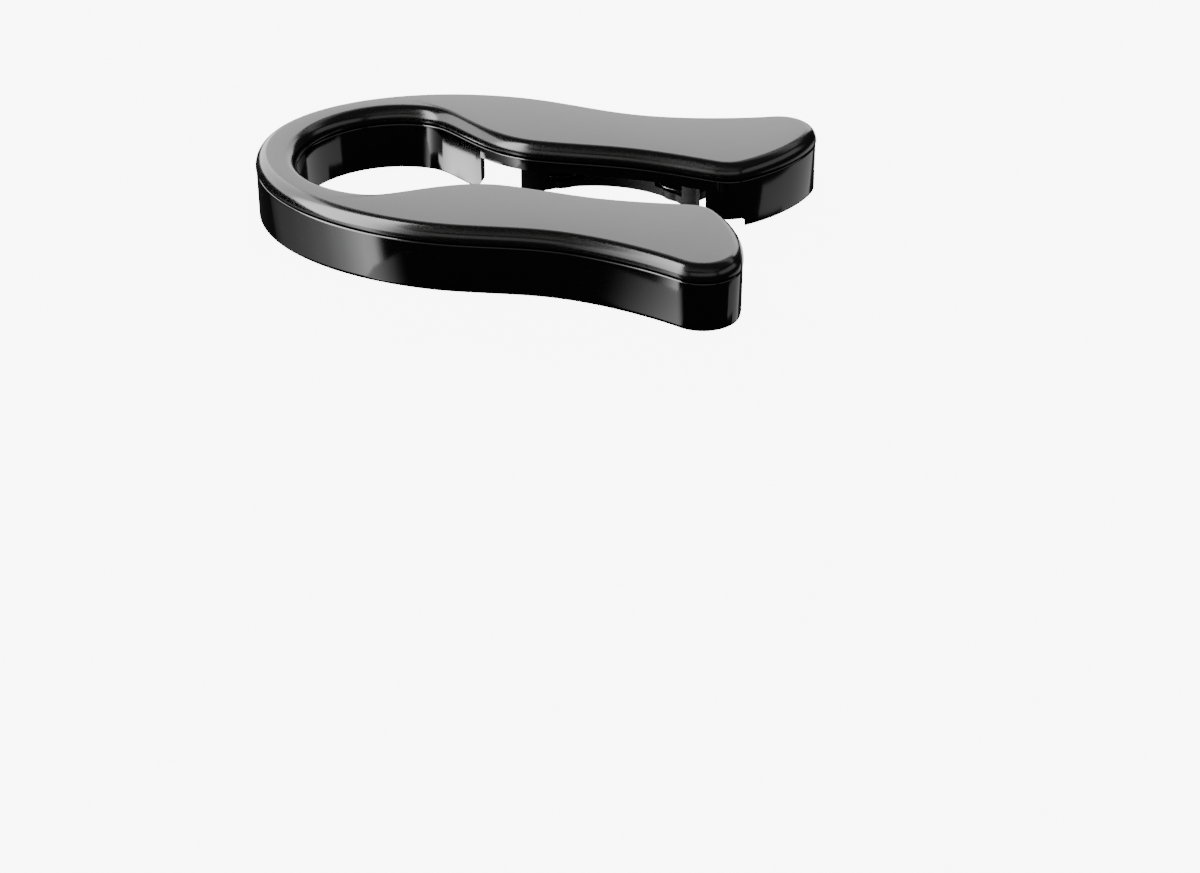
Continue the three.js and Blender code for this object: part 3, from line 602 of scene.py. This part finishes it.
# ---- Floor and lights -----------------------------------------------------------------------------
# A pale paper floor on a light table. One broad panel stands behind the tool and lies in the satin
# cover as a grey sheen, and dimmer ones stand round it for the other sides. Cards close to the tool
# and under the floor's edge lie in the rounded rim and the polished walls.
FLOOR_HALF, FLOOR_Z = 3000, -0.02
floor = new_piece("floor", [(-FLOOR_HALF, -FLOOR_HALF, FLOOR_Z), (FLOOR_HALF, -FLOOR_HALF, FLOOR_Z),
                            (FLOOR_HALF, FLOOR_HALF, FLOOR_Z), (-FLOOR_HALF, FLOOR_HALF, FLOOR_Z)], [(0, 1, 2, 3)])
paper = bpy.data.materials.new("paper")
paper.use_nodes = True
for socket, value in (("Base Color", (0.88, 0.88, 0.88, 1)), ("Roughness", 0.9), ("Specular IOR Level", 0.1),
                      ("Emission Color", (1, 1, 1, 1)), ("Emission Strength", 8)):
    paper.node_tree.nodes["Principled BSDF"].inputs[socket].default_value = value
floor.data.materials.append(paper)
floor.visible_glossy = floor.visible_diffuse = False
world = bpy.data.worlds.new("studio")
bpy.context.scene.world = world
world.use_nodes = True
world.node_tree.nodes["Background"].inputs["Color"].default_value = (1, 1, 1, 1)
world.node_tree.nodes["Background"].inputs["Strength"].default_value = 0.03


def softbox(name, spot, width, height, power, glossy=True):
    """A broad soft panel that faces the tool. Its place and size are in metres."""
    light = bpy.data.lights.new(name, "AREA")
    light.shape, light.size, light.size_y, light.energy = "RECTANGLE", width, height, power
    lamp = bpy.data.objects.new(name, light)
    bpy.context.collection.objects.link(lamp)
    lamp.location = spot
    lamp.rotation_mode = "QUATERNION"
    lamp.rotation_quaternion = (-Vector(spot)).to_track_quat("-Z", "Y")
    lamp.visible_glossy = glossy


def sheen_card(name, corners, along, stops):
    """A glowing card that only shows in glossy surfaces. stops are (where along the axis in mm, radiance)."""
    card = new_piece(name, corners, [tuple(range(len(corners)))])
    glow = bpy.data.materials.new(name)
    glow.use_nodes = True
    nodes, links = glow.node_tree.nodes, glow.node_tree.links
    nodes.clear()
    out, shine = nodes.new("ShaderNodeOutputMaterial"), nodes.new("ShaderNodeEmission")
    where, split = nodes.new("ShaderNodeTexCoord"), nodes.new("ShaderNodeSeparateXYZ")
    span, ramp = nodes.new("ShaderNodeMapRange"), nodes.new("ShaderNodeFloatCurve")
    low, high = stops[0][0], stops[-1][0]
    most = max(v for _, v in stops)
    span.inputs["From Min"].default_value, span.inputs["From Max"].default_value = low * MM, high * MM
    curve = ramp.mapping.curves[0]
    points = [((w - low) / (high - low), v / most) for w, v in stops]
    curve.points[0].location, curve.points[1].location = points[0], points[-1]
    for p in points[1:-1]:
        curve.points.new(*p)
    for p in curve.points:
        p.handle_type = "VECTOR"
    ramp.mapping.update()
    gain = nodes.new("ShaderNodeMath")
    gain.operation, gain.inputs[1].default_value = "MULTIPLY", most
    links.new(where.outputs["Object"], split.inputs["Vector"])
    links.new(split.outputs[along], span.inputs["Value"])
    links.new(span.outputs["Result"], ramp.inputs["Value"])
    links.new(ramp.outputs["Value"], gain.inputs[0])
    links.new(gain.outputs["Value"], shine.inputs["Strength"])
    links.new(shine.outputs["Emission"], out.inputs["Surface"])
    card.data.materials.append(glow)
    card.visible_camera = card.visible_diffuse = card.visible_shadow = card.visible_transmission = False


def upright(x, edge):
    """Corners in the plane at one x, from (y, z) pairs."""
    return [(x, y, z) for y, z in edge]


softbox("back_panel", (-0.42, 1.40, 0.50), 1.7, 0.82, 13)
softbox("top_fill", (0.1, -0.1, 1.2), 1.4, 1.4, 12, glossy=False)
softbox("front_panel", (0.42, -1.50, 0.52), 2.4, 0.62, 4.5)
softbox("right_panel", (1.60, 0.10, 0.52), 2.0, 0.62, 4.0)
softbox("left_panel", (-1.60, -0.10, 0.52), 2.0, 0.62, 4.0)

NEAR_LEFT, FAR_LEFT, FAR_RIGHT, FAR_BACK, CEILING, ROOM_HALF = -60, -160, 373, 1300, 1300, 1600
# In the cover's rounded rim.
sheen_card("rim_card",
           upright(NEAR_LEFT, [(-210, 0), (-45, -1.5), (-22, 15), (-22, 150), (-45, 138), (-75, 102), (-100, 74),
                               (-140, 66), (-210, 58)]), "Y",
           [(-210, 0.3), (-152, 1.3), (-134, 2), (-118, 3.5), (-110, 5.5), (-98, 9), (-88, 13), (-80, 16),
            (-51, 20), (-30, 20), (-22, 13)])
sheen_card("end_card", upright(NEAR_LEFT, [(-21.9, 12), (45, 12), (45, 60), (-21.9, 60)]), "Y",
           [(-21.9, 6), (45, 5.5)])
# In the walls of the near arm, the upper one at the loop and the lower one at the tip.
sheen_card("left_card",
           upright(NEAR_LEFT, [(-92, -33), (-76, -33), (-66, -37), (-60, -37), (-52, -33), (-39, -27), (-20, -21),
                               (-4, -19), (-4, -3), (-92, -3)]), "Y",
           [(-92, 0), (-86, 3), (-80, 6.8), (-70, 7), (-52, 3.4), (-39, 1.7), (-28, 1), (-19, 0.6), (-10, 0.35),
            (-4, 0.1)])
sheen_card("arm_card",
           upright(NEAR_LEFT, [(-130, -70), (-60, -70), (-60, -37.2), (-66, -37.2), (-76, -33.2),
                               (-130, -33.2)]), "Y",
           [(-130, 0), (-117, 0.1), (-110, 0.3), (-101, 0.8), (-90, 1.6), (-80, 2.5), (-72, 3.1), (-60, 3.3)])
# In the far arm's inner wall, between the loop and the neck.
sheen_card("loop_card", upright(FAR_LEFT, [(-95, -86), (14, -86), (14, -50), (-95, -50)]), "Y",
           [(-95, 4), (-82, 9), (-17, 12), (14, 13)])
# In both tips.
sheen_card("right_card",
           upright(FAR_RIGHT, [(10, -185), (150, -192), (190, -310), (600, -380), (600, -110), (10, -110)]), "Y",
           [(10, 0.85), (190, 0.85), (600, 1.2)])
# In the walls and the cover when the tool is seen from behind or from above.
sheen_card("back_card", [(x, FAR_BACK, z) for x, z in ((-900, -560), (300, -560), (300, -160), (-900, -160))], "X",
           [(-900, 3.5), (-560, 3), (-420, 0.6), (-250, 0.4), (0, 2), (300, 3)])
sheen_card("ceiling_card",
           [(-ROOM_HALF, -ROOM_HALF, CEILING), (-ROOM_HALF, ROOM_HALF, CEILING),
            (ROOM_HALF, ROOM_HALF, CEILING), (ROOM_HALF, -ROOM_HALF, CEILING)], "Y",
           [(-ROOM_HALF, 0.7), (-700, 0.3), (-350, 0.1), (850, 0.1), (1150, 1.0), (ROOM_HALF, 1.4)])
